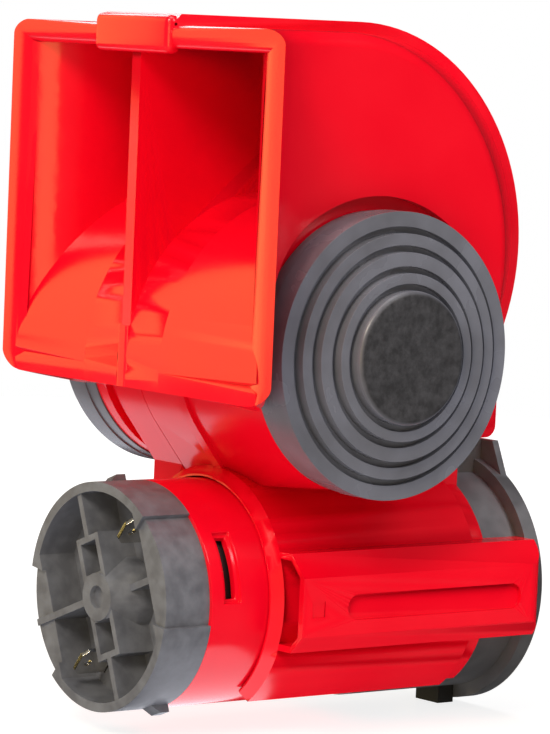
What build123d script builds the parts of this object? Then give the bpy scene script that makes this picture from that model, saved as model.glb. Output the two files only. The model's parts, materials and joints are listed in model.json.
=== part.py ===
"""Compact electric twin-tone air horn for a vehicle, in millimetres.

Two snail trumpets share one moulded body that straddles a motor-driven vane pump.
Origin: centre of the mounting eye at the rear. X runs across the horns (+X is the
low-tone side), -Y is the way the horns point, +Z is up.
"""

import os
from math import cos, radians, sin

from build123d import *

os.makedirs("parts", exist_ok=True)

# ---- Layout: the three axes, measured from the mounting eye ---------------------
pump_drop = 36.0            # eye down to the motor and pump axis (along Y)
pump_overhang = 3.1         # pump's rear face behind the eye
drum_rise = 12.5            # eye up to the diaphragm axis (along X)
drum_ahead = 46.1           # eye forward to the diaphragm axis

# ---- Trumpet mouth --------------------------------------------------------------
mouth_reach = 84.6          # eye forward to the mouth plane
mouth_height = 68.6
mouth_right = 46.4          # half-widths of the low-tone and high-tone mouths
mouth_left = 39.9
lip = 4.4                   # lip width round the mouth
corner_round = 3.0
divider = 2.7
divider_setback = 0.9
divider_start = 8.0         # set back from this height above the dome's centre

# ---- Trumpet coil ---------------------------------------------------------------
core_half = 12.0            # centre moulding, from seam to seam
coil_radius = 41.4          # outside of the coil at the seam
coil_rise = 19.3            # coil centre above the diaphragm axis
coil_ahead = 39.2           # coil centre forward of the eye, at the seam
side_half = 28.8            # side wall of the coil behind the flare
coil_shift = 1.06           # the coil centre comes forward this much per mm of X
coil_drop = 0.09            # and comes down this much
coil_end = 40.0             # degrees below horizontal where the coil ends
tail = 12.0                 # straight run from there down into the neck
wall = 2.6
flare_depth = 20.0          # depth of the flare behind the lip
band_rise = 2.1             # raised band over the centre moulding
hub_radius = 33.9           # domed floor of both trumpets
hub_ahead = 4.6             # dome centre forward of the diaphragm axis
hub_drop = 4.5              # and below it

# ---- Diaphragm drum, covers and their contents ----------------------------------
drum_radius = 26.5
ridge_from = 0.4            # seam ridge over the drum, right of the centre plane
ridge_width = 2.3
ridge_rise = 0.8
drum_half = 21.3            # drum up to the groove
groove_width = 2.5
groove_depth = 1.0
drum_flange = 3.0
flange_rise = 0.4
pocket_gap = 2.5            # room round each cover in the side wall
pocket_step = 0.5           # the pocket reaches this much behind the cover
cover_radius = 27.5
cover_depth = 8.5
cover_lip = 3.2             # plain skirt next to the drum
cover_lip_step = 0.3
land_radii = (24.6, 21.1, 17.2, 14.0)
land_rise = 1.1
land_groove = 1.2
land_groove_depth = 1.3
button_rise = 1.8
button_round = 1.1
cover_skin = 2.2
press_rib = 2.0
chamber_radius = 20.0
chamber_depth = 6.0
seat_radius = 6.5
throat_radius = 3.8
ledge_radius = 23.0
ledge_depth = 2.7
diaphragm_thick = 0.4
small_gap = 0.15            # clearance of parts that lie in one another

# ---- Motor sleeve, connector cap and terminals ----------------------------------
cap_radius = 22.0
cap_rim = 1.8
cap_length = 11.0
cap_floor = 2.7
cap_turn = 21.5             # the spoke pattern is turned by this many degrees
spoke = 1.3
frame_length = 23.9
frame_width = 7.3
frame_wall = 1.2
hub_boss = 4.6
hub_dimple = 2.2
flat_angle = 59.5           # each relieved sector of the rim
flat_step = 0.8
land_chord = 16.0           # inner flat of that sector, from the axis
spoke_setback = 0.3
low_spoke_setback = 3.5     # the spoke towards +X lies deeper
hub_base = 7.6              # foot of the hub's cone, this far behind the front
hub_depth = 6.0
snap_width = 3.0            # snap hooks on the rim
snap_front = 7.0
snap_ramp = 1.8
snap_length = 3.9
snap_rise = 1.5
sleeve_radius = 22.0
sleeve_wall = 2.2
motor_length = 47.0         # from the connector cap to the pump plate
window_front = 2.9          # cooling window behind the cap
window_length = 3.9
window_from = 2.4           # degrees
window_to = 39.0
window_step = 0.7
window_frame = 0.8
blade_width = 6.3
blade_thick = 0.8
blade_reach = 0.7           # blade tip behind the cap's front
blade_radius = 14.9
blade_angle = 65.0
blade_twist = 52.0          # direction of the blade's width
blade_hole = 0.85
blade_chamfer = 1.2
blade_hole_back = 2.2
blade_foot = 1.2            # shoulders behind the cap's floor
foot_run = 2.0

# ---- Motor ----------------------------------------------------------------------
can_gap = 0.3
can_wall = 1.2
magnet_thick = 4.0
magnet_length = 32.0
magnet_angle = 124.0
magnet_front = 6.7
air_gap = 0.7
core_length = 24.0
core_front = 13.7           # armature core behind the brush plate's front
pole_slots = 5
slot_radius = 3.0
slot_ring = 8.4
slot_mouth = 1.8
winding_gap = 0.4
winding_head = 3.0
shaft_radius = 2.0
shaft_setback = 0.3
running_gap = 0.03
fixed_gap = 0.02
bush_wall = 1.0
bush_length = 5.0
plate_thick = 3.0
commutator_radius = 4.6
commutator_length = 4.2
commutator_gap = 0.5
brush_gap = 0.25
brush_width = 3.6
brush_depth = 3.0
brush_length = 5.5
brush_rise = 0.4
holder_wall = 1.2

# ---- Pump -----------------------------------------------------------------------
pump_radius = 22.6
pump_plate_thick = 4.0
gasket_thick = 0.6
pump_length = 25.4          # die-cast housing from gasket to flange
flange_radius = 25.2
flange_thick = 3.3
chamber_length = 20.0
pump_chamber = 16.4
pump_offset = 2.6
rotor_gap = 0.5             # least gap between rotor and chamber
rotor_end_gap = 0.3
vane_count = 4
vane_thick = 1.2
vane_height = 6.6
vane_gap = 0.1
pillar_half = 6.6
pillar_length = 10.8
gusset_thick = 1.5
gusset_top = 9.9
gusset_foot = 13.7
gusset_bottom = 20.0
pillar_foot = 18.0
pillar_ahead = 9.0
port_radius = 1.8           # air bore from the pump up to the diaphragm chambers
port_setback = 3.4
port_top = 3.0              # level of the gallery above the eye
gallery_back = 13.9         # gallery behind the diaphragm axis
spigot_radius = 2.6
spigot_length = 2.0
foot_half = 3.5
foot_length = 4.0
foot_drop = 25.9

# ---- Saddle, ducts and mounting lug ---------------------------------------------
saddle_ahead = 63.8         # eye forward to the saddle's front
saddle_radius = 24.3
saddle_length = 50.7
saddle_lip = 3.6            # reduced rim at the saddle's rear
saddle_lip_step = 0.9
saddle_bevel = 2.2          # length of the bevelled front edge
saddle_bevel_rise = 1.6
fit_gap = 0.3               # sleeve and pump in the saddle
neck_top = 34.0
neck_foot = 16.0
neck_ahead = 61.2
neck_length = 52.0
fairing_ahead = 61.0
fairing_length = 31.8
fairing_outline = ((-8, 32), (-15, 32), (-19.4, 23), (-21.6, 19.5), (-26, 9), (-22, 5))
duct_ahead = 61.7
duct_inner = 20.0
duct_web = 1.1              # saddle wall left inside each duct
throat_x = 7.0
duct_half = 30.0            # ducts along both sides
duct_top = 10.3
duct_bottom = 8.6
duct_chamfer = 4.2
duct_length = 61.5
duct_wall = 1.3
duct_floor = 6.0
duct_tip_round = 4.0
recess_length = 44.0
recess_height = 5.0
recess_start = 11.0
recess_depth = 0.6
mark_start = 2.4            # small square sink on the duct's side
mark_size = 3.0
mark_depth = 0.2
lug_half = 4.5
lug_front = 12.2            # forward of the eye
lug_rear = 7.0
lug_under = 7.7
lug_over = 8.0
lug_round = 2.5
eye_radius = 4.2            # clearance hole for an M8 bolt
spigot_ahead = 3.6

# ---- Derived places -------------------------------------------------------------
pump_rear = pump_overhang
flange_y = pump_rear - flange_thick
housing_y = flange_y - pump_length
gasket_y = housing_y - gasket_thick
motor_rear = gasket_y - pump_plate_thick
cap_rear = motor_rear - motor_length
nose_y = cap_rear - cap_length
axis_z = -pump_drop
drum_y = -drum_ahead
mouth_y = -mouth_reach
coil_y = -coil_ahead
coil_z = drum_rise + coil_rise
coil_top = coil_z + coil_radius
mouth_top = coil_top - 0.3
mouth_floor = mouth_top - mouth_height
hub_y = drum_y - hub_ahead
hub_z = drum_rise - hub_drop
flange_x = drum_half + groove_width
cover_x = flange_x + drum_flange
cover_face = cover_x + cover_depth
ledge_x = cover_x - ledge_depth
pocket_x = cover_x - pocket_step
saddle_y = -saddle_ahead
duct_y = -duct_ahead
saddle_rear = saddle_y + saddle_length + saddle_lip
neck_front = -neck_ahead
neck_rear = neck_front + neck_length
neck_bottom = axis_z + neck_foot
neck_under = axis_z + neck_top
port_y = housing_y + port_setback
gallery_y = drum_y + gallery_back
spigot_y = -spigot_ahead
pillar_y = -pillar_ahead
button_top = (len(land_radii) - 1) * land_rise + button_rise
blade_run = cap_length - blade_reach
magnet_y = cap_rear + plate_thick + magnet_front
brush_middle = commutator_radius + brush_gap + brush_length / 2
can_radius = sleeve_radius - sleeve_wall - can_gap
can_bore = can_radius - can_wall
magnet_outer = can_bore - small_gap
armature_radius = magnet_outer - magnet_thick - air_gap
commutator_y = cap_rear + bush_length + commutator_gap
core_y = cap_rear + core_front
rotor_radius = pump_chamber - pump_offset - rotor_gap
rotor_y = housing_y + rotor_end_gap
rotor_length = chamber_length - 2 * rotor_end_gap
motor_axis = Axis((0, 0, axis_z), (0, 1, 0))


def across(y):
    """Plane square to the motor axis at y, local axes X and Z about that axis."""
    return Plane(origin=(0, y, axis_z), x_dir=(1, 0, 0), z_dir=(0, -1, 0))


def beside(x):
    """Plane square to the diaphragm axis at x, local axes Y and Z."""
    return Plane.YZ.offset(x)


def drum_plane(x):
    """The same, about the diaphragm axis."""
    return Plane(origin=(x, drum_y, drum_rise), x_dir=(0, 1, 0), z_dir=(1, 0, 0))


def coil_outline(x, inset):
    """Side view of a trumpet at x, inset from its outer skin; y, z of the eye."""
    cy = coil_y - coil_shift * (x - core_half)
    cz = coil_z - coil_drop * (x - core_half)
    r = coil_radius + coil_drop * (x - core_half) - inset
    end = (cy + r * cos(radians(coil_end)), cz - r * sin(radians(coil_end)))
    foot = (end[0] - tail * sin(radians(coil_end)), end[1] - tail * cos(radians(coil_end)))
    with BuildSketch(beside(x)) as outline:
        with BuildLine():
            Polyline((cy, cz + r), (mouth_y - inset, cz + r), (mouth_y - inset, mouth_floor), foot, end)
            CenterArc((cy, cz), r, -coil_end, 90 + coil_end)
        make_face()
    return outline.sketch


def flare_plan(half, throat, start):
    """Plan of one trumpet from the centre plane out to its flared side wall."""
    with BuildSketch(Plane.XY) as plan:
        with BuildLine():
            wall_line = Spline((throat, mouth_y + start), (half, mouth_y),
                               tangents=[(0, -1), (1, -0.55)])
            Polyline((throat, mouth_y + start), (throat, coil_radius), (0, coil_radius),
                     (0, mouth_y - lip), (half, mouth_y - lip), (half, mouth_y))
        make_face()
    return plan.sketch


def trumpet_cavity(mouth_half):
    """Air space of one trumpet: coil, flare, less the domed floor and the drum."""
    with BuildPart() as air:
        add(coil_outline(core_half, lip))
        add(coil_outline(mouth_half, lip))
        loft(ruled=True)
        extrude(coil_outline(core_half, lip), amount=-(core_half - divider / 2))
        with BuildSketch():
            add(flare_plan(mouth_half - lip, side_half - wall, flare_depth))
        extrude(amount=150, both=True, mode=Mode.INTERSECT)
        hub_plane = Plane(origin=(0, hub_y, hub_z), x_dir=(0, 1, 0), z_dir=(1, 0, 0))
        disc(hub_plane, hub_radius, mouth_half, Mode.SUBTRACT)
        disc(drum_plane(0), drum_radius + wall, mouth_half, Mode.SUBTRACT)
        disc(drum_plane(pocket_x - wall), cover_radius + pocket_gap + wall, mouth_half, Mode.SUBTRACT)
    return air.part


def disc(plane, radius, length, mode=Mode.ADD):
    """Round stage of the current part, from a plane along its normal."""
    with BuildSketch(plane) as face:
        Circle(radius)
    extrude(face.sketch, amount=length, mode=mode)


def ring(plane, outer, inner, length, mode=Mode.ADD):
    """Annular stage of the current part."""
    with BuildSketch(plane) as face:
        Circle(outer)
        Circle(inner, mode=Mode.SUBTRACT)
    extrude(face.sketch, amount=length, mode=mode)


def block(x, y, z, mode=Mode.ADD):
    """Box of the current part from three (low, high) pairs."""
    with BuildSketch(Plane.XY.offset(z[0])) as face:
        with Locations(((x[0] + x[1]) / 2, (y[0] + y[1]) / 2)):
            Rectangle(x[1] - x[0], y[1] - y[0])
    extrude(face.sketch, amount=z[1] - z[0], mode=mode)


def wedge(plane, outer, inner, first, last):
    """Sector of a ring between two angles in degrees."""
    with BuildSketch(plane) as face:
        with BuildLine():
            far = CenterArc((0, 0), outer, first, last - first)
            near = CenterArc((0, 0), inner, first, last - first)
            Line(far @ 0, near @ 0)
            Line(far @ 1, near @ 1)
        make_face()
    return face.sketch


def gallery(x, length):
    """Air gallery across the current part, from x towards +X."""
    with BuildSketch(Plane(origin=(x, gallery_y, port_top), x_dir=(0, 1, 0), z_dir=(1, 0, 0))) as bore:
        Circle(port_radius)
    extrude(bore.sketch, amount=length, mode=Mode.SUBTRACT)


# ---- Trumpet body: side mouldings ------------------------------------------------
def trumpet_side(mouth_half):
    """Side moulding, on +X: outer half of a mouth, its wall and the drum's end."""
    with BuildPart() as side:
        add(coil_outline(core_half, 0))
        add(coil_outline(mouth_half, 0))
        loft(ruled=True)
        with BuildSketch():
            add(flare_plan(mouth_half, side_half, flare_depth + wall))
        extrude(amount=150, both=True, mode=Mode.INTERSECT)
        shoulder = side.edges().filter_by(lambda e: e.center().X > core_half + corner_round
                                          and e.center().Z > drum_rise + corner_round
                                          and e.center().Y > mouth_y + 1)
        fillet(shoulder, corner_round)
        disc(drum_plane(pocket_x), cover_radius + pocket_gap, mouth_half, Mode.SUBTRACT)
        disc(drum_plane(core_half), drum_radius, drum_half - core_half)
        disc(drum_plane(drum_half), drum_radius - groove_depth, groove_width)
        disc(drum_plane(flange_x), drum_radius + flange_rise, drum_flange)
        add(trumpet_cavity(mouth_half), mode=Mode.SUBTRACT)
        disc(drum_plane(ledge_x), ledge_radius, drum_half, Mode.SUBTRACT)
        ring(drum_plane(ledge_x), chamber_radius, seat_radius, -chamber_depth, Mode.SUBTRACT)
        disc(drum_plane(core_half), throat_radius, drum_half, Mode.SUBTRACT)
        gallery(core_half, ledge_x - chamber_depth - core_half)
        floor_edge = side.edges().filter_by(lambda e: e.center().X > core_half + 1
                                            and e.center().Z < mouth_floor + lip
                                            and e.center().Y < drum_y - drum_radius / 2
                                            and e.bounding_box().size.Y > corner_round)
        fillet(floor_edge, corner_round)
    return side.part


right_shell = trumpet_side(mouth_right)
left_shell = mirror(trumpet_side(mouth_left), Plane.YZ)

# ---- Trumpet body: centre moulding with the saddle, ducts and lug -----------------
with BuildPart() as center_body:
    with BuildSketch(across(saddle_y)):
        Circle(saddle_radius - saddle_bevel_rise)
    with BuildSketch(across(saddle_y + saddle_bevel)):
        Circle(saddle_radius)
    loft()
    disc(across(saddle_y + saddle_bevel), saddle_radius, -(saddle_length - saddle_bevel))
    disc(across(saddle_y + saddle_bevel), saddle_radius - saddle_lip_step,
         -(saddle_rear - saddle_y - saddle_bevel))
    extrude(coil_outline(core_half, 0), amount=-2 * core_half)
    extrude(coil_outline(core_half, -band_rise), amount=-2 * core_half)
    with BuildSketch(beside(-core_half)):
        Polygon((mouth_y, coil_top), (mouth_y + band_rise, coil_top + band_rise),
                (mouth_y + band_rise, coil_top - wall), (mouth_y, coil_top - wall), align=None)
    extrude(amount=2 * core_half)
    disc(drum_plane(-core_half), drum_radius, 2 * core_half)
    disc(drum_plane(ridge_from), drum_radius + ridge_rise, ridge_width)
    block((-core_half, core_half), (neck_front, neck_rear), (neck_bottom, neck_under))
    with BuildSketch(across(-fairing_ahead)):
        Polygon(*fairing_outline, align=None)
    extrude(amount=-fairing_length)
    disc(drum_plane(-core_half), drum_radius + fit_gap, -drum_half, Mode.SUBTRACT)
    disc(drum_plane(-flange_x), drum_radius + flange_rise + fit_gap, -drum_half, Mode.SUBTRACT)
    disc(across(saddle_y + saddle_bevel), saddle_radius, -(saddle_length - saddle_bevel))
    with BuildSketch(across(duct_y)):
        for turn in (1, -1):
            Polygon((turn * duct_inner, duct_top), (turn * (duct_half - duct_chamfer), duct_top),
                    (turn * duct_half, duct_top - duct_chamfer),
                    (turn * duct_half, -duct_bottom + duct_chamfer * 0.8),
                    (turn * (duct_half - duct_chamfer * 0.8), -duct_bottom),
                    (turn * duct_inner, -duct_bottom), align=None)
    extrude(amount=-duct_length)
    duct_tips = center_body.edges().filter_by(Axis.Z).filter_by(
        lambda e: e.center().Y > duct_y + duct_length - 1 and abs(e.center().X) > duct_half - 1)
    fillet(duct_tips, duct_tip_round)
    with BuildSketch(beside(-lug_half)):
        with Locations(((lug_rear - lug_front) / 2, (lug_over - lug_under) / 2)):
            RectangleRounded(lug_rear + lug_front, lug_over + lug_under, lug_round)
    extrude(amount=2 * lug_half)
    add(trumpet_cavity(mouth_right), mode=Mode.SUBTRACT)
    add(mirror(trumpet_cavity(mouth_left), Plane.YZ), mode=Mode.SUBTRACT)
    block((-divider / 2, divider / 2), (mouth_y - 1, mouth_y + divider_setback),
          (hub_z + divider_start, coil_top - lip), Mode.SUBTRACT)
    disc(across(saddle_y), sleeve_radius + fit_gap, -(motor_rear - saddle_y), Mode.SUBTRACT)
    disc(across(motor_rear), pump_radius + fit_gap, -(lug_rear - motor_rear), Mode.SUBTRACT)
    with BuildSketch(across(duct_y)):
        for turn in (1, -1):
            Polygon((turn * duct_inner, duct_top - duct_wall),
                    (turn * (duct_half - duct_chamfer), duct_top - duct_wall),
                    (turn * (duct_half - duct_wall), duct_top - duct_chamfer),
                    (turn * (duct_half - duct_wall), -duct_bottom + duct_chamfer * 0.8),
                    (turn * (duct_half - duct_chamfer * 0.8), -duct_bottom + duct_wall),
                    (turn * duct_inner, -duct_bottom + duct_wall), align=None)
        Circle(sleeve_radius + fit_gap + duct_web, mode=Mode.SUBTRACT)
    extrude(amount=-(duct_length - duct_floor), mode=Mode.SUBTRACT)
    for turn in (1, -1):
        with BuildSketch(beside(turn * duct_half)):
            with Locations((duct_y + recess_start + recess_length / 2, axis_z)):
                SlotOverall(recess_length, recess_height)
        extrude(amount=-turn * recess_depth, mode=Mode.SUBTRACT)
        with BuildSketch(beside(turn * duct_half)):
            with Locations((duct_y + mark_start + mark_size / 2, axis_z)):
                Rectangle(mark_size, mark_size)
        extrude(amount=-turn * mark_depth, mode=Mode.SUBTRACT)
        disc(drum_plane(turn * throat_x), throat_radius, turn * core_half, Mode.SUBTRACT)
        with BuildSketch(Plane(origin=(turn * throat_x, drum_y, drum_rise), x_dir=(1, 0, 0),
                               z_dir=(0, 1, 0))):
            Circle(throat_radius)
        extrude(amount=hub_radius, mode=Mode.SUBTRACT)
    disc(beside(-lug_half), eye_radius, 2 * lug_half, Mode.SUBTRACT)
    with BuildSketch(Plane.XY.offset(-lug_under)):
        with Locations((0, spigot_y)):
            Circle(spigot_radius + small_gap)
    extrude(amount=spigot_length + fit_gap, mode=Mode.SUBTRACT)
    with BuildSketch(Plane.XY.offset(axis_z)):
        with Locations((0, port_y)):
            Circle(port_radius)
    extrude(amount=pump_drop + port_top, mode=Mode.SUBTRACT)
    with BuildSketch(Plane(origin=(0, port_y, port_top), x_dir=(1, 0, 0), z_dir=(0, -1, 0))):
        Circle(port_radius)
    extrude(amount=port_y - gallery_y, mode=Mode.SUBTRACT)
    gallery(-core_half, 2 * core_half)


# ---- Ribbed diaphragm covers --------------------------------------------------------
land_steps = (cover_radius - cover_lip_step,) + tuple(r - land_groove for r in land_radii)
with BuildPart() as right_cap:
    disc(drum_plane(cover_x), cover_radius - cover_lip_step, cover_depth)
    disc(drum_plane(cover_x + cover_lip), cover_radius, cover_depth - cover_lip)
    for step, radius in enumerate(land_steps[1:-1], 1):
        disc(drum_plane(cover_face), radius, step * land_rise)
    disc(drum_plane(cover_face), land_steps[-1], button_top)
    fillet(right_cap.faces().sort_by(Axis.X)[-1].edges(), button_round)
    for step, radius in enumerate(land_radii):
        groove_floor = cover_face + step * land_rise - land_groove_depth
        ring(drum_plane(groove_floor), radius, radius - land_groove, land_groove_depth, Mode.SUBTRACT)
        disc(drum_plane(cover_x), land_steps[step] - cover_skin,
             groove_floor - cover_skin - cover_x, Mode.SUBTRACT)
    disc(drum_plane(cover_x), land_steps[-1] - cover_skin,
         cover_depth + button_top - cover_skin, Mode.SUBTRACT)
    ring(drum_plane(cover_x), ledge_radius - small_gap - press_rib / 4,
         ledge_radius - small_gap - press_rib * 1.25, cover_depth - land_groove_depth - cover_skin)

with BuildPart() as right_diaphragm:
    disc(drum_plane(ledge_x), ledge_radius - small_gap, diaphragm_thick)

with BuildPart() as right_clamp_ring:
    ring(drum_plane(ledge_x + diaphragm_thick), ledge_radius - small_gap, chamber_radius,
         ledge_depth - diaphragm_thick)

# ---- Motor sleeve -------------------------------------------------------------------
with BuildPart() as motor_tube:
    ring(across(cap_rear), sleeve_radius, sleeve_radius - sleeve_wall, -motor_length)
    window_y = cap_rear + window_front
    extrude(wedge(across(window_y), sleeve_radius + 1, sleeve_radius - window_step,
                  window_from, window_to), amount=-window_length, mode=Mode.SUBTRACT)
    extrude(wedge(across(window_y + window_frame), sleeve_radius + 1, sleeve_radius - 2 * sleeve_wall,
                  window_from + 2, window_to - 2), amount=-(window_length - 2 * window_frame),
            mode=Mode.SUBTRACT)

# ---- Connector cap ------------------------------------------------------------------
def turned(y, angle, radius=0, twist=None):
    """Plane across the motor axis at y and radius, its X turned to angle (or twist)."""
    out = radians(angle)
    facing = out if twist is None else radians(twist)
    return Plane(origin=(radius * cos(out), y, axis_z + radius * sin(out)),
                 x_dir=(cos(facing), 0, sin(facing)), z_dir=(0, -1, 0))


def bar(plane, length, width, depth, mode=Mode.ADD):
    """Bar of the current part centred on a plane, running rearward by depth."""
    with BuildSketch(plane) as face:
        Rectangle(length, width)
    extrude(face.sketch, amount=-depth, mode=mode)


with BuildPart() as end_cap:
    ring(across(nose_y), cap_radius, cap_radius - cap_rim, -cap_length)
    disc(across(cap_rear - cap_floor), cap_radius - cap_rim / 2, -cap_floor)
    for angle in (cap_turn, cap_turn + 180):
        with BuildSketch(turned(nose_y, angle)) as land:
            Circle(cap_radius - cap_rim / 2)
            with Locations((land_chord - cap_radius, 0)):
                Rectangle(2 * cap_radius, 3 * cap_radius, mode=Mode.SUBTRACT)
        extrude(land.sketch, amount=-cap_length)
        half = flat_angle / 2
        extrude(wedge(turned(nose_y, angle), cap_radius + 1, cap_radius - flat_step, -half, half),
                amount=-cap_length, mode=Mode.SUBTRACT)
        extrude(wedge(turned(nose_y, angle), cap_radius + 1, hub_boss, -half, half),
                amount=-flat_step, mode=Mode.SUBTRACT)
        reach = cap_radius - cap_rim / 2
        for side, setback in ((0, low_spoke_setback if angle == cap_turn else spoke_setback),
                              (90, spoke_setback)):
            bar(turned(nose_y + setback, angle + side, reach / 2), reach, spoke, cap_length - setback)
        hook = turned(nose_y, angle + 90)
        with BuildSketch(Plane(origin=hook.origin, x_dir=hook.x_dir,
                               z_dir=hook.x_dir.cross(Vector(0, 1, 0)))) as snap:
            Polygon((reach, snap_front), (cap_radius, snap_front),
                    (cap_radius + snap_rise, snap_front + snap_ramp),
                    (cap_radius + snap_rise, snap_front + snap_length),
                    (reach, snap_front + snap_length), align=None)
        extrude(snap.sketch, amount=snap_width / 2, both=True)
    bar(turned(nose_y + spoke_setback, cap_turn + 90), frame_length, frame_width,
        cap_length - spoke_setback)
    with BuildSketch(across(nose_y)) as hub_front:
        Circle(hub_boss)
    with BuildSketch(across(nose_y + hub_depth)) as hub_foot:
        Circle(hub_base)
    loft((hub_front.sketch, hub_foot.sketch))
    disc(across(nose_y + hub_depth), hub_base, hub_depth - cap_length)
    for turn in (1, -1):
        window = (frame_length / 2 + hub_boss - frame_wall) / 2
        bar(turned(nose_y, cap_turn + 90, turn * window), frame_length / 2 - hub_boss - frame_wall,
            frame_width - 2 * frame_wall, cap_length - cap_floor, Mode.SUBTRACT)
    disc(across(nose_y), hub_dimple, -hub_dimple / 2, Mode.SUBTRACT)
    for angle in (blade_angle, blade_angle + 180):
        bar(turned(nose_y + cap_floor, angle, blade_radius, blade_twist), blade_width + 2 * small_gap,
            blade_thick + 2 * small_gap, cap_length, Mode.SUBTRACT)

# ---- Spade terminal, upper ------------------------------------------------------------
blade_plane = turned(nose_y + blade_reach, blade_angle, blade_radius, blade_twist)
with BuildPart() as upper_terminal:
    with BuildSketch(Plane(origin=blade_plane.origin, x_dir=blade_plane.x_dir,
                           z_dir=blade_plane.x_dir.cross(Vector(0, -1, 0)))):
        with BuildLine():
            Polyline((-blade_width / 2 + blade_chamfer, 0), (blade_width / 2 - blade_chamfer, 0),
                     (blade_width / 2, -blade_chamfer), (blade_width / 2, -blade_run - foot_run),
                     (-blade_width / 2 - blade_foot, -blade_run - foot_run),
                     (-blade_width / 2 - blade_foot, -blade_run),
                     (-blade_width / 2, -blade_run), (-blade_width / 2, -blade_chamfer), close=True)
        make_face()
        with Locations((0, -blade_hole_back)):
            Circle(blade_hole, mode=Mode.SUBTRACT)
    extrude(amount=blade_thick / 2, both=True)

# ---- Brush plate and brushes ------------------------------------------------------------
with BuildPart() as brush_plate:
    disc(across(cap_rear), sleeve_radius - sleeve_wall - small_gap, -plate_thick)
    disc(across(cap_rear), shaft_radius + bush_wall + holder_wall, -bush_length)
    for turn in (0, 180):
        bar(turned(cap_rear + plate_thick, turn, brush_middle), brush_length + 2 * holder_wall,
            brush_width + 2 * holder_wall, brush_depth + brush_rise + holder_wall)
        bar(turned(cap_rear + plate_thick + brush_rise, turn, brush_middle - holder_wall),
            brush_length + 2 * holder_wall, brush_width + 2 * small_gap,
            brush_depth + small_gap, Mode.SUBTRACT)
        bar(turned(cap_rear, blade_angle + turn, blade_radius - blade_foot, blade_twist),
            blade_width + 2 * blade_foot, blade_thick + 2 * small_gap + blade_foot / 2,
            plate_thick, Mode.SUBTRACT)
    disc(across(cap_rear), shaft_radius + bush_wall + fixed_gap, -bush_length, Mode.SUBTRACT)
    disc(across(cap_rear + bush_length), commutator_radius + brush_gap, -plate_thick * 3, Mode.SUBTRACT)


def brush(turn):
    with BuildPart() as carbon:
        bar(turned(cap_rear + plate_thick + brush_rise, turn, brush_middle), brush_length,
            brush_width, brush_depth)
    return carbon.part


right_brush = brush(0)
left_brush = brush(180)

# ---- Motor can, magnets and bushes --------------------------------------------------------
with BuildPart() as motor_can:
    ring(across(cap_rear + plate_thick), can_radius, can_bore, -(motor_length - plate_thick))
    ring(across(motor_rear - can_wall), can_bore + can_wall / 2, shaft_radius + bush_wall + fixed_gap,
         -can_wall)
    ring(across(motor_rear - bush_length), shaft_radius + bush_wall + holder_wall,
         shaft_radius + bush_wall + fixed_gap, -bush_length)


def magnet(middle):
    with BuildPart() as arc:
        extrude(wedge(across(magnet_y), magnet_outer, magnet_outer - magnet_thick,
                      middle - magnet_angle / 2, middle + magnet_angle / 2), amount=-magnet_length)
    return arc.part


upper_magnet = magnet(90)
lower_magnet = magnet(270)

with BuildPart() as front_bush:
    ring(across(cap_rear), shaft_radius + bush_wall, shaft_radius + running_gap, -bush_length)
with BuildPart() as rear_bush:
    ring(across(motor_rear - bush_length), shaft_radius + bush_wall, shaft_radius + running_gap,
         -bush_length)

# ---- Turning parts: shaft, armature, windings and commutator --------------------------------
with BuildPart() as shaft:
    disc(across(cap_rear + shaft_setback), shaft_radius, -(rotor_y + rotor_length - cap_rear
                                                         - shaft_setback))

with BuildPart() as armature:
    ring(across(core_y), armature_radius, shaft_radius + fixed_gap, -core_length)
    with BuildSketch(across(core_y)):
        with PolarLocations(slot_ring, pole_slots):
            Circle(slot_radius)
        with PolarLocations(slot_ring + slot_radius, pole_slots):
            Rectangle(2 * slot_radius, slot_mouth)
    extrude(amount=-core_length, mode=Mode.SUBTRACT)

with BuildPart() as windings:
    with BuildSketch(across(core_y - winding_head)):
        with PolarLocations(slot_ring, pole_slots):
            Circle(slot_radius - winding_gap)
    extrude(amount=-(core_length + 2 * winding_head))
    for start in (core_y - winding_head, core_y + core_length):
        ring(across(start), slot_ring + slot_radius, shaft_radius + bush_wall, -winding_head)

with BuildPart() as commutator:
    ring(across(commutator_y), commutator_radius, shaft_radius + fixed_gap, -commutator_length)

# ---- Pump -----------------------------------------------------------------------------------
chamber_z = axis_z + pump_offset


def chamber(y, radius, depth, mode=Mode.SUBTRACT):
    """Round space of the current part, eccentric to the motor by pump_offset."""
    with BuildSketch(Plane(origin=(0, y, chamber_z), x_dir=(1, 0, 0), z_dir=(0, -1, 0))) as face:
        Circle(radius)
    extrude(face.sketch, amount=-depth, mode=mode)


with BuildPart() as pump_plate:
    ring(across(motor_rear), pump_radius, shaft_radius + running_gap, -pump_plate_thick)

with BuildPart() as gasket:
    disc(across(gasket_y), pump_radius, -gasket_thick)
    chamber(gasket_y, pump_chamber, gasket_thick)

with BuildPart() as pump_cover:
    disc(across(housing_y), pump_radius, -pump_length)
    disc(across(flange_y), flange_radius, -flange_thick)
    block((-pillar_half, pillar_half), (pillar_y, pillar_y + pillar_length),
          (axis_z + pillar_foot, -lug_under))
    with BuildSketch(across(pump_rear)):
        Polygon((-gusset_foot, gusset_bottom), (gusset_foot, gusset_bottom),
                (gusset_top, pump_drop - lug_under), (-gusset_top, pump_drop - lug_under), align=None)
    extrude(amount=gusset_thick)
    with BuildSketch(Plane.XY.offset(-lug_under)):
        with Locations((0, spigot_y)):
            Circle(spigot_radius)
    extrude(amount=spigot_length)
    chamber(housing_y, pump_chamber, chamber_length)
    with BuildSketch(Plane.XY.offset(axis_z)):
        with Locations((0, port_y)):
            Circle(port_radius)
    extrude(amount=pump_radius + 1, mode=Mode.SUBTRACT)

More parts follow.
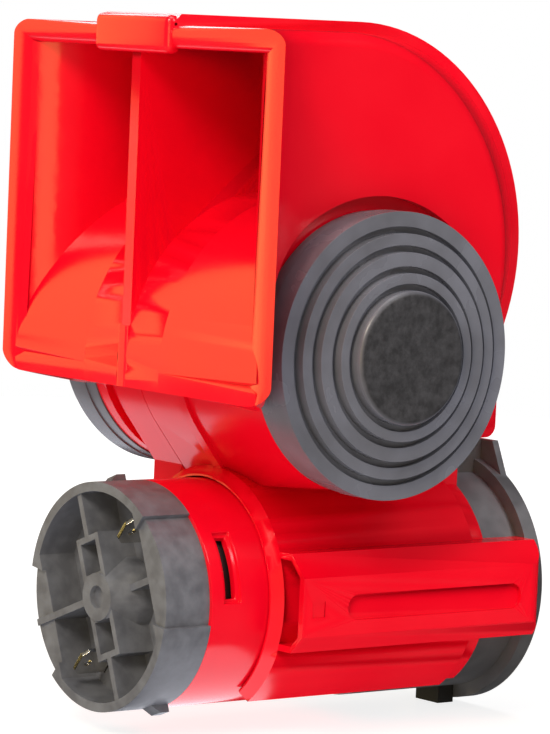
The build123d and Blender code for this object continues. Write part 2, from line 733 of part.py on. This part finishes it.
with BuildPart() as pump_rotor:
    ring(across(rotor_y), rotor_radius, shaft_radius + fixed_gap, -rotor_length)
    for turn in range(vane_count):
        bar(turned(rotor_y, turn * 360 / vane_count, rotor_radius - vane_height / 2),
            vane_height + 2 * vane_gap, vane_thick + 2 * vane_gap, rotor_length, Mode.SUBTRACT)


def vane(turn):
    with BuildPart() as blade:
        bar(turned(rotor_y, turn * 360 / vane_count, rotor_radius - vane_height / 2 - vane_gap),
            vane_height, vane_thick, rotor_length)
    return blade.part


with BuildPart() as foot_pad:
    block((-foot_half, foot_half), (flange_y - foot_length, flange_y),
          (axis_z - foot_drop, axis_z - pump_radius + 1))
    disc(across(flange_y - foot_length), pump_radius + fixed_gap, -foot_length, Mode.SUBTRACT)

# ---- Export -----------------------------------------------------------------------------------
pieces = {
    "center_body": center_body.part,
    "right_shell": right_shell,
    "left_shell": left_shell,
    "right_cap": right_cap.part,
    "left_cap": mirror(right_cap.part, Plane.YZ),
    "right_diaphragm": right_diaphragm.part,
    "left_diaphragm": mirror(right_diaphragm.part, Plane.YZ),
    "right_clamp_ring": right_clamp_ring.part,
    "left_clamp_ring": mirror(right_clamp_ring.part, Plane.YZ),
    "motor_tube": motor_tube.part,
    "end_cap": end_cap.part,
    "upper_terminal": upper_terminal.part,
    "lower_terminal": upper_terminal.part.rotate(motor_axis, 180),
    "brush_plate": brush_plate.part,
    "right_brush": right_brush,
    "left_brush": left_brush,
    "motor_can": motor_can.part,
    "upper_magnet": upper_magnet,
    "lower_magnet": lower_magnet,
    "front_bush": front_bush.part,
    "rear_bush": rear_bush.part,
    "shaft": shaft.part,
    "armature": armature.part,
    "windings": windings.part,
    "commutator": commutator.part,
    "pump_plate": pump_plate.part,
    "gasket": gasket.part,
    "pump_cover": pump_cover.part,
    "pump_rotor": pump_rotor.part,
    "foot_pad": foot_pad.part,
}
for turn in range(vane_count):
    pieces[f"vane_{turn + 1}"] = vane(turn)
for name, piece in pieces.items():
    print(name, len(piece.solids()), round(piece.volume, 1), piece.is_valid)
    piece.label = name
    export_step(piece, f"parts/{name}.step")
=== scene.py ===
import json
from math import cos, pi, radians, sin

import bpy
from mathutils import Euler, Matrix, Vector


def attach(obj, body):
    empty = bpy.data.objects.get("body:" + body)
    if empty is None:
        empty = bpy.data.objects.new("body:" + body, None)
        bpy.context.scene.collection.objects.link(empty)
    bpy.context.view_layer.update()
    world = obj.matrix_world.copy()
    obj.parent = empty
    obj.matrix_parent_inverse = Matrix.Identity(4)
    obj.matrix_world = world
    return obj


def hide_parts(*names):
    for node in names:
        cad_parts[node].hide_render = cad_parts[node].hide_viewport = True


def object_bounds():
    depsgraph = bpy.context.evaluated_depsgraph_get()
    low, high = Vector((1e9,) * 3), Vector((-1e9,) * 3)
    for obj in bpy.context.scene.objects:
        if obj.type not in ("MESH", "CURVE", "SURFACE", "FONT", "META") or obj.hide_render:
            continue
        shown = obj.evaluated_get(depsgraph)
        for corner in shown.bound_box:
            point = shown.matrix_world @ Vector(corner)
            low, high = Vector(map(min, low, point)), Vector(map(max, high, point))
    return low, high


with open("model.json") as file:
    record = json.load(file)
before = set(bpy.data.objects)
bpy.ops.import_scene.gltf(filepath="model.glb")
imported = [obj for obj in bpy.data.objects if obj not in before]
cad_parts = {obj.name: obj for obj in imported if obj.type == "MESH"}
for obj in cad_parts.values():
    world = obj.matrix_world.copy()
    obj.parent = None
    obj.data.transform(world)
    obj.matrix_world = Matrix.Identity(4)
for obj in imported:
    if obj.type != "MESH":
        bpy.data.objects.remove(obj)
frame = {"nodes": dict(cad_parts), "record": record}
cadBox = [list(corner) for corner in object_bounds()]
nodes = frame["nodes"]
mm = 0.001
bpy.ops.object.select_all(action="DESELECT")
print("frame loaded:", len(nodes), "nodes")


def hexColour(text):
    channels = []
    for start in (1, 3, 5):
        value = int(text[start:start + 2], 16) / 255
        channels.append(value / 12.92 if value <= 0.04045 else ((value + 0.055) / 1.055) ** 2.4)
    return (*channels, 1)


def addNode(tree, kind, inputs=None, **settings):
    node = tree.nodes.new(kind)
    for name, value in settings.items():
        setattr(node, name, value)
    for name, value in (inputs or {}).items():
        if isinstance(value, bpy.types.NodeSocket):
            tree.links.new(value, node.inputs[name])
        else:
            node.inputs[name].default_value = value
    return node


# noise scale whose grain is about this many millimetres
def perMetre(size):
    return 1 / (size * mm)


def worn(tree, place, button, tint, gloss):
    # the middle of each cover is spark-eroded: duller, darker and mottled
    flat = addNode(tree, "ShaderNodeVectorMath", {0: place, 1: (0, 1, 1)}, operation="MULTIPLY")
    reach = addNode(tree, "ShaderNodeVectorMath", {0: flat.outputs[0], 1: button["centre"]},
                    operation="DISTANCE")
    inside = addNode(tree, "ShaderNodeMapRange",
                     {"Value": reach.outputs["Value"], "From Min": button["radius"] - 0.4 * mm,
                      "From Max": button["radius"] + 0.4 * mm, "To Min": 1.0, "To Max": 0.0})
    mottle = addNode(tree, "ShaderNodeTexNoise",
                     {"Vector": place, "Scale": perMetre(button["grain"]), "Detail": 5.0,
                      "Roughness": 0.7})
    patch = addNode(tree, "ShaderNodeValToRGB", {"Fac": mottle.outputs["Fac"]})
    patch.color_ramp.elements[0].position = 0.38
    patch.color_ramp.elements[0].color = hexColour(button["colours"][0])
    patch.color_ramp.elements[1].position = 0.66
    patch.color_ramp.elements[1].color = hexColour(button["colours"][1])
    mixTint = addNode(tree, "ShaderNodeMix",
                      {0: inside.outputs["Result"], 6: tint, 7: patch.outputs["Color"]},
                      data_type="RGBA")
    mixGloss = addNode(tree, "ShaderNodeMix",
                       {0: inside.outputs["Result"], 2: gloss, 3: button["rough"]})
    return mixTint.outputs[2], mixGloss.outputs[0]


def surface(name, look):
    # one surface: two close colours that drift, a roughness that drifts, and a fine grain
    material = bpy.data.materials.new(name)
    material.use_nodes = True
    tree = material.node_tree
    tree.nodes.clear()
    place = addNode(tree, "ShaderNodeTexCoord").outputs["Object"]
    drift = addNode(tree, "ShaderNodeTexNoise",
                    {"Vector": place, "Scale": perMetre(look["drift"]), "Detail": 3.0})
    colour = addNode(tree, "ShaderNodeValToRGB", {"Fac": drift.outputs["Fac"]})
    colour.color_ramp.elements[0].position = 0.35
    colour.color_ramp.elements[0].color = hexColour(look["colours"][0])
    colour.color_ramp.elements[1].position = 0.68
    colour.color_ramp.elements[1].color = hexColour(look["colours"][1])
    grain = addNode(tree, "ShaderNodeTexNoise",
                    {"Vector": place, "Scale": perMetre(look["grain"]), "Detail": 2.0,
                     "Roughness": 0.55})
    rough = addNode(tree, "ShaderNodeMapRange",
                    {"Value": drift.outputs["Fac"], "From Min": 0.3, "From Max": 0.7,
                     "To Min": look["rough"][0], "To Max": look["rough"][1]})
    bump = addNode(tree, "ShaderNodeBump",
                   {"Height": grain.outputs["Fac"], "Strength": look["bump"],
                    "Distance": look["height"] * mm})
    tint, gloss = colour.outputs["Color"], rough.outputs["Result"]
    if "button" in look:
        tint, gloss = worn(tree, place, look["button"], tint, gloss)
    shader = addNode(tree, "ShaderNodeBsdfPrincipled",
                     {"Base Color": tint, "Roughness": gloss,
                      "Metallic": look.get("metal", 0.0), "Normal": bump.outputs["Normal"]})
    if "ior" in look:
        shader.inputs["IOR"].default_value = look["ior"]
    if "glow" in look:
        # lit from below like a light table, fully white away from the part
        away = addNode(tree, "ShaderNodeVectorMath", {0: place}, operation="LENGTH")
        glow = addNode(tree, "ShaderNodeMapRange",
                       {"Value": away.outputs["Value"], "From Min": 0.12, "From Max": 0.5,
                        "To Min": look["glow"][0], "To Max": look["glow"][1]})
        shader.inputs["Emission Color"].default_value = (1, 1, 1, 1)
        tree.links.new(glow.outputs["Result"], shader.inputs["Emission Strength"])
    addNode(tree, "ShaderNodeOutputMaterial", {"Surface": shader.outputs["BSDF"]})
    return material


looks = {
    # injection-moulded ABS, polished tool: clear reflections, a faint orange peel
    "red_shell": {"colours": ("#E1031E", "#E90420"), "drift": 25, "grain": 2.4, "rough": (0.16, 0.24),
                  "bump": 0.08, "height": 0.05, "ior": 1.53},
    # the same resin on the turned sleeve
    "red_sleeve": {"colours": ("#E00320", "#E80422"), "drift": 20, "grain": 2.0, "rough": (0.14, 0.2),
                   "bump": 0.06, "height": 0.05, "ior": 1.53},
    # moulded black polypropylene with a soft gloss; its colour is raised to mid grey as painted sheen, the
    # grey gloss of its lit lands painted into the colour all over
    "black_cover": {"colours": ("#5E5F68", "#6C6E7A"), "drift": 12, "grain": 0.8, "rough": (0.2, 0.3),
                    "bump": 0.1, "height": 0.04, "ior": 1.49,
                    "button": {"centre": (0, -46.1 * mm, 12.5 * mm), "radius": 12.4 * mm, "grain": 2.2,
                               "colours": ("#2C2C30", "#404045"), "rough": 0.5}},
    # moulded glass-filled nylon: duller, with a speckle
    "black_nylon": {"colours": ("#565861", "#676A74"), "drift": 3, "grain": 0.5, "rough": (0.32, 0.5),
                    "bump": 0.2, "height": 0.05, "ior": 1.53},
    # rolled spring steel: bright and even
    "spring_steel": {"colours": ("#B9B9B6", "#C7C7C4"), "drift": 8, "grain": 0.3,
                     "rough": (0.25, 0.35), "bump": 0.05, "height": 0.02, "metal": 1.0},
    # pressure die-cast zinc alloy: grey skin with a soft sheen
    "cast_alloy": {"colours": ("#8C8C90", "#9C9CA0"), "drift": 6, "grain": 0.6, "rough": (0.4, 0.55),
                   "bump": 0.2, "height": 0.06, "metal": 0.85},
    # tin plate on brass: bright and clean
    "tinned_brass": {"colours": ("#DAD8D2", "#EAE8E4"), "drift": 3, "grain": 0.3,
                     "rough": (0.15, 0.25), "bump": 0.05, "height": 0.01, "metal": 1.0},
    # pressed carbon: dull and near black
    "carbon": {"colours": ("#19191A", "#232324"), "drift": 2, "grain": 0.2, "rough": (0.6, 0.75),
               "bump": 0.2, "height": 0.03, "ior": 1.5},
    # zinc-plated steel coloured near black: dark with a low sheen
    "plated_steel": {"colours": ("#242426", "#303033"), "drift": 10, "grain": 0.4,
                     "rough": (0.3, 0.45), "bump": 0.08, "height": 0.02, "metal": 0.6},
    # sintered ferrite: dark grey, fine and dull
    "ferrite": {"colours": ("#2B2B2E", "#353538"), "drift": 4, "grain": 0.4, "rough": (0.5, 0.65),
                "bump": 0.2, "height": 0.04, "metal": 0.3},
    # sintered bronze: brown and slightly open
    "bronze": {"colours": ("#8A6436", "#9C7644"), "drift": 2, "grain": 0.3, "rough": (0.35, 0.5),
               "bump": 0.2, "height": 0.03, "metal": 1.0},
    # stamped electrical steel: mid grey with a thin sheen
    "core_steel": {"colours": ("#55565A", "#65666A"), "drift": 4, "grain": 0.35, "rough": (0.35, 0.5),
                   "bump": 0.15, "height": 0.02, "metal": 1.0},
    # enamelled copper wire: warm and glossy
    "copper": {"colours": ("#A8512A", "#BE6436"), "drift": 2, "grain": 0.4, "rough": (0.2, 0.35),
               "bump": 0.3, "height": 0.06, "metal": 1.0},
    # moulded rubber: black and dull
    "rubber": {"colours": ("#131313", "#1C1C1C"), "drift": 3, "grain": 0.5, "rough": (0.6, 0.75),
               "bump": 0.2, "height": 0.04, "ior": 1.5},
}
materials = {slot: surface(slot, look) for slot, look in looks.items()}
slotOf = {part["node"]: part["material_slot"] for part in frame["record"]["subparts"]}
for name, node in nodes.items():
    node.data.materials.clear()
    node.data.materials.append(materials[slotOf[name]])
print("materials:", len(materials))

# moulded pieces get the small radius that every moulded edge has, in mm
softEdges = {
    "center_body": 0.35,
    "right_shell": 0.35,
    "left_shell": 0.35,
    "right_cap": 0.25,
    "left_cap": 0.25,
    "motor_tube": 0.2,
    "end_cap": 0.2,
    "pump_cover": 0.4,
    "upper_terminal": 0.08,
    "lower_terminal": 0.08,
}
# in mm and degrees: what is merged, flattened, rounded and shaded smooth
softening = {"merge": 0.002, "flat": 0.4, "rounded": 35, "smooth": 32, "segments": 2, "areaWeight": 100}
bodyOf = {node: body for body, members in frame["record"]["behaviour"]["bodies"].items()
          for node in members}


# a box between two corners in mm, with its place in its mesh
def block(name, low, high):
    bpy.ops.mesh.primitive_cube_add(size=mm)
    box = bpy.context.object
    box.name = name
    box.scale = [b - a for a, b in zip(low, high)]
    box.location = [(a + b) / 2 * mm for a, b in zip(low, high)]
    bpy.ops.object.transform_apply()
    box.select_set(False)
    return box


barSides = 160


# a round bar along X or Y, in mm, with its place in its mesh
def rod(name, axis, centre, radius, span):
    turns = {"X": (0, pi / 2, 0), "Y": (pi / 2, 0, 0)}
    place = {"X": ((span[0] + span[1]) / 2, *centre), "Y": (centre[0], (span[0] + span[1]) / 2, centre[1])}
    bpy.ops.mesh.primitive_cylinder_add(vertices=barSides, radius=radius * mm, depth=(span[1] - span[0]) * mm,
                                        location=[value * mm for value in place[axis]],
                                        rotation=turns[axis])
    bar = bpy.context.object
    bar.name = name
    bpy.ops.object.transform_apply()
    bar.select_set(False)
    return bar


# takes the cutter's shape out of the piece, and the cutter is gone
def carve(piece, cutter):
    cut = piece.modifiers.new("cut", "BOOLEAN")
    cut.operation = "DIFFERENCE"
    cut.object = cutter
    cut.solver = "EXACT"
    bpy.context.view_layer.objects.active = piece
    bpy.ops.object.modifier_apply(modifier=cut.name)
    bpy.data.objects.remove(cutter)


mouth = {"front": -84.6, "inner_sides": (-35.5, 42.0), "inner_top": 68.8, "outer_sides": (-39.9, 46.4),
         "outer_top": 73.2, "divider_sides": (-1.35, 1.35), "inner_round": 2.6, "outer_round": 1.3,
         "divider_round": 0.5, "shortest": 2.5, "segments": 5,
         "flush": 0.01, "near": 0.05}


# how far an edge of the mouth's front face is rounded, as a share of the inner rounding
def lipWeight(vertices):
    spots = [v.co / mm for v in vertices]
    if (spots[0] - spots[1]).length < mouth["shortest"]:
        return 0
    if any(abs(spot.y - mouth["front"]) > mouth["flush"] for spot in spots):
        return 0

    def along(axis, places):
        return any(all(abs(spot[axis] - place) < mouth["near"] for spot in spots) for place in places)

    if along(0, mouth["inner_sides"]) or along(2, (mouth["inner_top"],)):
        return 1
    if along(0, mouth["outer_sides"]) or along(2, (mouth["outer_top"],)):
        return mouth["outer_round"] / mouth["inner_round"]
    if along(0, mouth["divider_sides"]):
        return mouth["divider_round"] / mouth["inner_round"]
    return 0


# a copy of a moulded node with its cuts, its rounded lip and its soft edges
def softCopy(name, radius):
    mesh = nodes[name].data.copy()
    piece = bpy.data.objects.new(name + "_skin", mesh)
    bpy.context.scene.collection.objects.link(piece)
    bpy.context.view_layer.objects.active = piece
    piece.select_set(True)
    bpy.ops.object.mode_set(mode="EDIT")
    bpy.ops.mesh.select_all(action="SELECT")
    bpy.ops.mesh.remove_doubles(threshold=softening["merge"] * mm)
    bpy.ops.mesh.dissolve_limited(angle_limit=radians(softening["flat"]))
    bpy.ops.object.mode_set(mode="OBJECT")
    for cutter in cutters.get(name, []):
        carve(piece, cutter)
    shares = [lipWeight([mesh.vertices[i] for i in edge.vertices]) for edge in mesh.edges]
    if any(shares):
        weights = mesh.attributes.new("bevel_weight_edge", "FLOAT", "EDGE")
        weights.data.foreach_set("value", shares)
        lipBevel = piece.modifiers.new("lip", "BEVEL")
        lipBevel.width = mouth["inner_round"] * mm
        lipBevel.segments = mouth["segments"]
        lipBevel.limit_method = "WEIGHT"
        lipBevel.use_clamp_overlap = False
        bpy.ops.object.modifier_apply(modifier=lipBevel.name)
    rounding = piece.modifiers.new("rounding", "BEVEL")
    rounding.width = radius * mm
    rounding.segments = softening["segments"]
    rounding.limit_method = "ANGLE"
    rounding.angle_limit = radians(softening["rounded"])
    rounding.harden_normals = False
    bpy.ops.object.modifier_apply(modifier=rounding.name)
    bpy.ops.object.shade_smooth_by_angle(angle=radians(softening["smooth"]))
    flats = piece.modifiers.new("flats", "WEIGHTED_NORMAL")
    flats.mode = "FACE_AREA"
    flats.weight = softening["areaWeight"]
    flats.keep_sharp = True
    bpy.ops.object.modifier_apply(modifier=flats.name)
    piece.select_set(False)
    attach(piece, bodyOf[name])
    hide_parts(name)
    return piece


# the saddle is open underneath, where the sleeve shows
openSide = {"half": 14.0, "front": -65.0, "rear": -9.0, "under": -63.0, "over": -50.0}
cutters = {"center_body": [block("slot_cutter", (-openSide["half"], openSide["front"], openSide["under"]),
                                 (openSide["half"], openSide["rear"], openSide["over"]))]}
# and the plain neck makes room for the webs below, down to the saddle's skin
saddle = {"centre": (0, -36.0), "radius": 24.3, "span": (-80, 0)}
neckCuts = (((-12.5, -62.0, -17.0), (12.5, -57.9, -2.0)), ((10.3, -62.0, -17.0), (12.5, -30.5, -2.0)),
            ((-27.0, -62.0, -32.0), (-12.0, -57.0, -2.0)))
for low, high in neckCuts:
    cutter = block("neck_cutter", low, high)
    carve(cutter, rod("saddle", "Y", saddle["centre"], saddle["radius"], saddle["span"]))
    cutters["center_body"].append(cutter)
skins = {name: softCopy(name, radius) for name, radius in softEdges.items()}
print("skins:", len(skins))

# the drum runs down into the saddle in one smooth web, with the seam ridge on it
drum = {"centre": (-46.1, 12.5), "radius": 26.5, "skin": 0.4, "span": (-40, 40)}
sleeve = {"centre": (0, -36.0), "radius": 22.3, "span": (-80, 0)}
webSmooth = 30
webs = {
    "neck_web": {"span": (-12.0, 26.6), "rise": 0.12, "top": 3.2,
                 "bars": (((-12.0, -58.5, -14.6), (10.3, -30.0, -12.0)),)},
    "neck_ridge": {"span": (0.2, 2.75), "rise": 0.85, "top": 3.2,
                   "bars": (((0.4, -59.1, -15.1), (2.7, -58.0, -12.0)),)},
    "neck_side": {"span": (-21.2, -12.2), "rise": 0.12, "top": 3.2,
                  "bars": (((-21.6, -55.4, -18.5), (-12.2, -30.0, -16.0)),)},
    "neck_toe": {"top": 3.2,
                 "bars": (((-21.3, -59.9, -13.0), (-12.2, -50.0, -12.6)),
                          ((-25.0, -56.7, -17.0), (-12.2, -50.0, -16.6)),
                          ((-25.8, -56.6, -27.0), (-22.0, -50.0, -26.0)))},
}


# one web: the hull of its bars and its part of the drum, hollow where drum and sleeve pass
def web(name, look):
    parts = [block(name, *bar) for bar in look["bars"]]
    if "span" in look:
        parts.append(rod(name, "X", drum["centre"], drum["radius"] + look["rise"], look["span"]))
    piece = parts[0]
    for part in parts:
        part.select_set(True)
    bpy.context.view_layer.objects.active = piece
    bpy.ops.object.join()
    bpy.ops.object.mode_set(mode="EDIT")
    bpy.ops.mesh.select_all(action="SELECT")
    bpy.ops.mesh.convex_hull()
    bpy.ops.mesh.select_all(action="SELECT")
    bpy.ops.mesh.bisect(plane_co=(0, 0, look["top"] * mm), plane_no=(0, 0, 1),
                        clear_outer=True, use_fill=True)
    bpy.ops.object.mode_set(mode="OBJECT")
    piece.select_set(False)
    carve(piece, rod("inside", "X", drum["centre"], drum["radius"] - drum["skin"], drum["span"]))
    carve(piece, rod("bore", "Y", sleeve["centre"], sleeve["radius"], sleeve["span"]))
    piece.name = name
    piece.select_set(True)
    bpy.ops.object.shade_smooth_by_angle(angle=radians(webSmooth))
    piece.select_set(False)
    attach(piece, bodyOf["center_body"])
    piece.data.materials.clear()
    piece.data.materials.append(materials[slotOf["center_body"]])


for name, look in webs.items():
    web(name, look)

# thick lip over the middle of the mouth
lipBlock = {"low": (-12.0, -85.4, 67.8), "high": (12.0, -82.0, 75.0), "round": 1.4,
            "segments": 4}
centreLip = block("centre_lip", lipBlock["low"], lipBlock["high"])
centreLip.select_set(True)
bpy.context.view_layer.objects.active = centreLip
rounding = centreLip.modifiers.new("rounding", "BEVEL")
rounding.width = lipBlock["round"] * mm
rounding.segments = lipBlock["segments"]
bpy.ops.object.modifier_apply(modifier=rounding.name)
bpy.ops.object.shade_smooth_by_angle(angle=radians(softening["smooth"]))
centreLip.select_set(False)
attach(centreLip, bodyOf["center_body"])
centreLip.data.materials.append(materials[slotOf["center_body"]])
print("webs and lip block in place")

# plain pale floor just under the lowest point
floorLook = {"size": 1.3, "drop": 0.2 * mm, "colours": ("#8A8A8A", "#8E8E8E"), "glow": (0.82, 1.0)}
lowest = cadBox[0][2]
bpy.ops.mesh.primitive_circle_add(vertices=96, radius=floorLook["size"] / 2, fill_type="NGON",
                                  location=(0, -0.04, lowest - floorLook["drop"]))
floor = bpy.context.object
floor.name = "floor"
floor.data.materials.append(surface("floor", {"colours": floorLook["colours"], "drift": 300,
                                              "grain": 3, "rough": (0.35, 0.4), "bump": 0.0,
                                              "height": 0.01, "ior": 1.45,
                                              "glow": floorLook["glow"]}))
floor.select_set(False)
# the part is lit from below by the floor but doesn't mirror it
floor.visible_glossy = False
floor.visible_shadow = False

# soft boxes: place, aim, size, power, colour
lamps = {
    "key": ((0.5, -1.05, 0.98), (0, -0.05, 0.02), (0.5, 0.5), 17, (1, 0.9, 0.72)),
    "front": ((0.75, -1.05, 0.05), (0, -0.05, 0), (0.6, 0.6), 3, (1, 0.72, 0.25)),
    "wall": ((-1.15, -0.72, 0.45), (0, -0.72, 0.45), (1.2, 1.18), 7, (1, 0.74, 0.22)),
    "glint": ((0.005, -0.062, -0.066), (0.005, -0.062, 0), (0.07, 0.027), 0.01, (0.9, 0.92, 1)),
    "table": ((-0.53, 0.0, -0.43), (0, -0.05, 0), (0.45, 0.45), 0.75, (0.86, 0.9, 1)),
    "left": ((-1.1, 0.3, 0.9), (0, -0.05, 0.02), (0.5, 0.5), 5, (1, 0.97, 0.98)),
    "side": ((0.95, 0.3, 0.9), (0, -0.05, 0), (0.4, 0.4), 4, (1, 0.97, 0.98)),
    "top": ((0.1, 0.0, 1.25), (0, -0.05, 0), (0.8, 0.8), 6, (1, 1, 1)),
}
for name, (place, aim, size, power, tint) in lamps.items():
    light = bpy.data.lights.new(name, "AREA")
    light.shape = "RECTANGLE"
    light.size, light.size_y = size
    light.energy = power
    light.color = tint
    lamp = bpy.data.objects.new(name, light)
    lamp.location = place
    lamp.rotation_euler = (Vector(place) - Vector(aim)).to_track_quat("Z", "Y").to_euler()
    bpy.context.scene.collection.objects.link(lamp)
roomLook = {"fill": 0.37, "gloss": 0.01, "tint": (1, 1, 1, 1)}
world = bpy.data.worlds.new("studio")
world.use_nodes = True
room = world.node_tree
room.nodes.clear()
# white behind the part, a soft fill on its surfaces and little of either in its gloss
path = addNode(room, "ShaderNodeLightPath")
fill = addNode(room, "ShaderNodeMath", {0: path.outputs["Is Diffuse Ray"], 1: roomLook["fill"],
                                        2: roomLook["gloss"]}, operation="MULTIPLY_ADD")
strength = addNode(room, "ShaderNodeMath", {0: path.outputs["Is Camera Ray"], 1: fill.outputs[0]},
                   operation="MAXIMUM")
backdrop = addNode(room, "ShaderNodeBackground", {"Color": roomLook["tint"],
                                                  "Strength": strength.outputs[0]})
addNode(room, "ShaderNodeOutputWorld", {"Surface": backdrop.outputs[0]})
bpy.context.scene.world = world
bpy.context.scene.view_settings.view_transform = "Standard"

# the view: turn, height and roll in degrees, aim point and distance in mm
shot = {"turn": 51.684, "rise": 4.826, "roll": 2.422, "aim": (0, -47.25, 7.25), "distance": 789,
        "focalPixels": 4026, "imageHeight": 734, "sensor": 36}
camera = bpy.data.objects.new("camera", bpy.data.cameras.new("camera"))
bpy.context.scene.collection.objects.link(camera)
camera.data.sensor_fit = "VERTICAL"
camera.data.sensor_height = shot["sensor"]
camera.data.lens = shot["focalPixels"] / shot["imageHeight"] * shot["sensor"]
camera.data.clip_start = 0.05
turn, rise = radians(shot["turn"]), radians(shot["rise"])
back = Vector((sin(turn) * cos(rise), -cos(turn) * cos(rise), sin(rise)))
facing = Euler((pi / 2 - rise, 0, turn)).to_matrix() @ Matrix.Rotation(radians(shot["roll"]), 3, "Z")
camera.matrix_world = (Matrix.Translation((Vector(shot["aim"]) + back * shot["distance"]) * mm)
                       @ facing.to_4x4())
bpy.context.scene.camera = camera
print("camera and lights in place")
